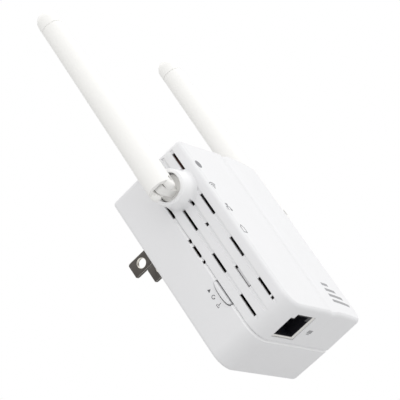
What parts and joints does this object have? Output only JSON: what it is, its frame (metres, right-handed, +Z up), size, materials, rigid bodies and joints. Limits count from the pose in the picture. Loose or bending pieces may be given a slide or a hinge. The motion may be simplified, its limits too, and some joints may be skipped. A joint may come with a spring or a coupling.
{
  "type": "wifi range extender",
  "caption": "Plug-in wifi range extender: vented white case with flat plug blades, network port, reset button and hinged rod antennas.",
  "frame": {"origin": "middle of the flat wall face of the case, at half the case's height and half its width", "axes": "+Z up along the antennas, +Y out of the wall face and into the wall, -Y the front, +X right seen from the front"},
  "size_m": [0.0912, 0.0518, 0.1464],
  "materials": {
    "front_cover": "satin moulded white",
    "rear_cover": "satin moulded white",
    "reset_button": "satin moulded white",
    "blade_carrier": "matt moulded white",
    "blade": "nickel plate over brass",
    "contact_spring": "bare spring brass",
    "case_screw": "zinc plated",
    "circuit_board": "green solder mask on glass laminate",
    "transformer_core": "dark ferrite",
    "transformer_winding": "yellow tape over the winding",
    "input_capacitor": "dark blue shrink sleeve",
    "output_capacitor": "dark green shrink sleeve",
    "fuse": "green coated body",
    "chip": "black moulding",
    "shield_can": "tinned sheet",
    "led": "pale resin",
    "light_guide": "clear moulding",
    "jack_housing": "cream moulding",
    "jack_contacts": "gold flashed",
    "switch_plunger": "amber moulding",
    "coax": "black jacket",
    "antenna": "satin warm white",
    "swivel_clip": "spring steel",
    "hinge_pin": "turned steel",
    "antenna_core": "bare brass"
  },
  "bodies": {
    "case": {"front_cover": "front_cover", "rear_cover": "rear_cover", "blade_carrier": "blade_carrier", "blade_left": "blade", "blade_right": "blade", "contact_spring_left": "contact_spring", "contact_spring_right": "contact_spring", "case_screw_1": "case_screw", "case_screw_2": "case_screw", "case_screw_3": "case_screw", "power_board": "circuit_board", "transformer_core": "transformer_core", "transformer_winding": "transformer_winding", "input_capacitor": "input_capacitor", "output_capacitor": "output_capacitor", "bridge_rectifier": "chip", "fuse": "fuse", "board_header": "chip", "main_board": "circuit_board", "shield_can": "shield_can", "radio_chip": "chip", "memory_chip": "chip", "lan_transformer": "chip", "led_1": "led", "led_2": "led", "led_3": "led", "led_4": "led", "light_guide": "light_guide", "jack_housing": "jack_housing", "jack_contacts": "jack_contacts", "switch_base": "chip", "coax_left": "coax", "coax_right": "coax"},
    "swivel_left": {"swivel_left": "antenna", "swivel_clip_left": "swivel_clip"},
    "antenna_left": {"antenna_sleeve_left": "antenna", "antenna_tip_left": "antenna", "antenna_core_left": "antenna_core", "hinge_pin_left": "hinge_pin"},
    "swivel_right": {"swivel_right": "antenna", "swivel_clip_right": "swivel_clip"},
    "antenna_right": {"antenna_sleeve_right": "antenna", "antenna_tip_right": "antenna", "antenna_core_right": "antenna_core", "hinge_pin_right": "hinge_pin"},
    "reset_button": {"reset_button": "reset_button"},
    "switch_plunger": {"switch_plunger": "switch_plunger"}
  },
  "joints": [
    {"name": "antenna_left_swivel", "type": "hinge", "parent": "case", "child": "swivel_left", "pos_m": [-0.035, -0.0238, 0.0233], "axis": [1, 0, 0], "range_deg": [-15, 180]},
    {"name": "antenna_left_tilt", "type": "hinge", "parent": "swivel_left", "child": "antenna_left", "pos_m": [-0.0406, -0.0238, 0.0221], "axis": [0, -1, 0], "range_deg": [0, 90]},
    {"name": "antenna_right_swivel", "type": "hinge", "parent": "case", "child": "swivel_right", "pos_m": [0.035, -0.0238, 0.0233], "axis": [1, 0, 0], "range_deg": [-15, 180]},
    {"name": "antenna_right_tilt", "type": "hinge", "parent": "swivel_right", "child": "antenna_right", "pos_m": [0.0406, -0.0238, 0.0221], "axis": [0, 1, 0], "range_deg": [0, 90]},
    {"name": "reset_press", "type": "slide", "parent": "case", "child": "reset_button", "axis": [1, 0, 0], "range_m": [0, 0.0004], "stiffness_N_per_m": 400},
    {"name": "switch_press", "type": "slide", "parent": "case", "child": "switch_plunger", "axis": [1, 0, 0], "range_m": [0, 0.0004]}
  ],
  "couplings": [
    {"joint": "switch_press", "follows": "reset_press", "ratio": 1}
  ]
}
